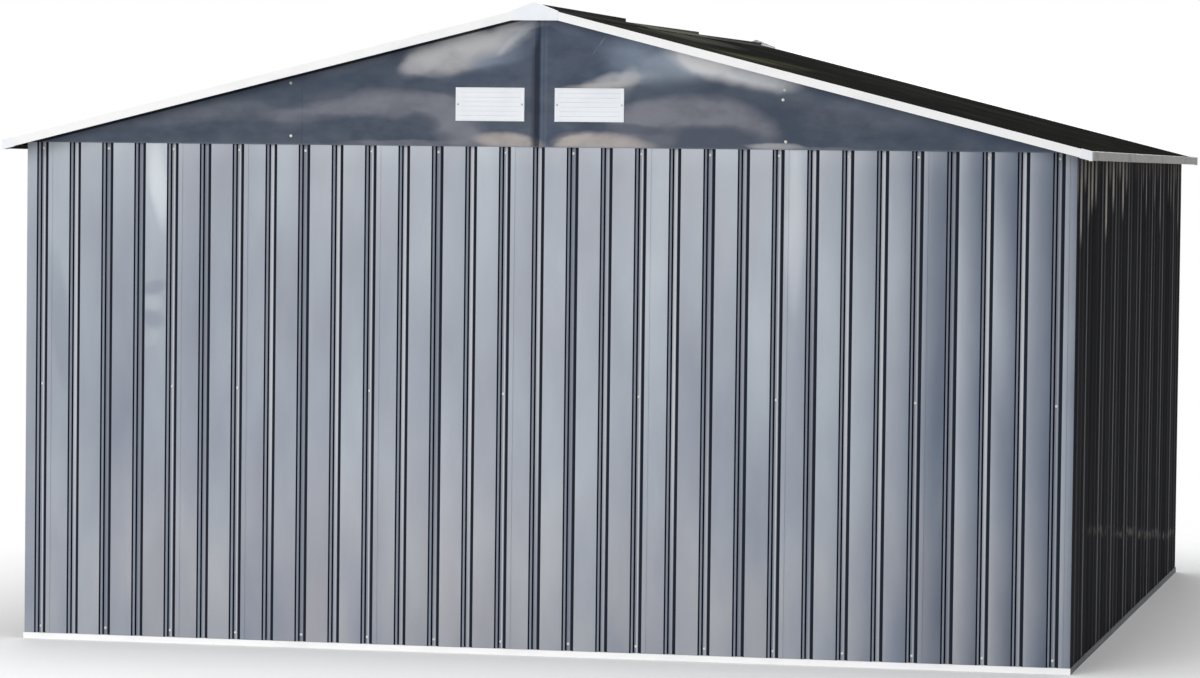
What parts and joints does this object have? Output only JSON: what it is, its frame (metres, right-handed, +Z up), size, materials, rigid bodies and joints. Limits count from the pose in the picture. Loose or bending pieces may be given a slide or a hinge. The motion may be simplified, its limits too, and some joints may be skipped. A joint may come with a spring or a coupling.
{
  "type": "metal storage shed",
  "caption": "Garden storage shed of ribbed steel sheets with a low gable roof, white trims, louvred gable vents and a closed pair of sliding doors.",
  "frame": {"origin": "on the ground under the middle of the roof", "axes": "+Z up, -Y out of the back wall that the picture shows, +Y out of the door wall, +X to the right as seen from the back"},
  "size_m": [3.4046, 3.796, 2.0056],
  "materials": {
    "wall_paint": "smooth semi-gloss grey baked paint on ribbed steel sheet",
    "gable_paint": "glossy dark slate paint on flat steel sheet, slightly wavy",
    "roof_paint": "very dark grey baked paint on ribbed steel sheet",
    "door_paint": "smooth semi-gloss grey baked paint",
    "white_trim": "white baked paint on folded steel",
    "white_plastic": "moulded white plastic",
    "beam_steel": "plain zinc coated steel of the rails and roof beams"
  },
  "bodies": {
    "root": {"base_rail_back": "white_trim", "base_rail_right": "white_trim", "base_rail_door": "white_trim", "base_rail_left": "white_trim", "corner_sheet_back_right": "wall_paint", "corner_sheet_door_right": "wall_paint", "corner_sheet_door_left": "wall_paint", "corner_sheet_back_left": "wall_paint", "back_wall_sheets": "wall_paint", "right_wall_sheets": "wall_paint", "left_wall_sheets": "wall_paint", "door_wall_sheets_right": "wall_paint", "door_wall_sheets_left": "wall_paint", "top_rail_back": "beam_steel", "top_rail_right": "beam_steel", "top_rail_door": "beam_steel", "top_rail_left": "beam_steel", "mid_rails": "beam_steel", "ridge_beam": "beam_steel", "roof_purlins": "beam_steel", "gable_sheets_back_left": "gable_paint", "gable_sheets_back_right": "gable_paint", "gable_sheets_door_left": "gable_paint", "gable_sheets_door_right": "gable_paint", "vent_back_left": "white_plastic", "vent_back_right": "white_plastic", "vent_door_left": "white_plastic", "vent_door_right": "white_plastic", "roof_sheets_left": "roof_paint", "roof_sheets_right": "roof_paint", "ridge_caps": "roof_paint", "rake_trim_back_left": "white_trim", "rake_trim_back_right": "white_trim", "rake_trim_door_left": "white_trim", "rake_trim_door_right": "white_trim", "eave_trim_left": "white_trim", "eave_trim_right": "white_trim", "peak_cap_back": "white_plastic", "peak_cap_door": "white_plastic", "roof_corner_caps": "white_plastic", "door_left": "door_paint", "door_right": "door_paint", "door_track": "beam_steel", "door_frame": "white_trim", "door_handles": "white_plastic"}
  },
  "joints": []
}
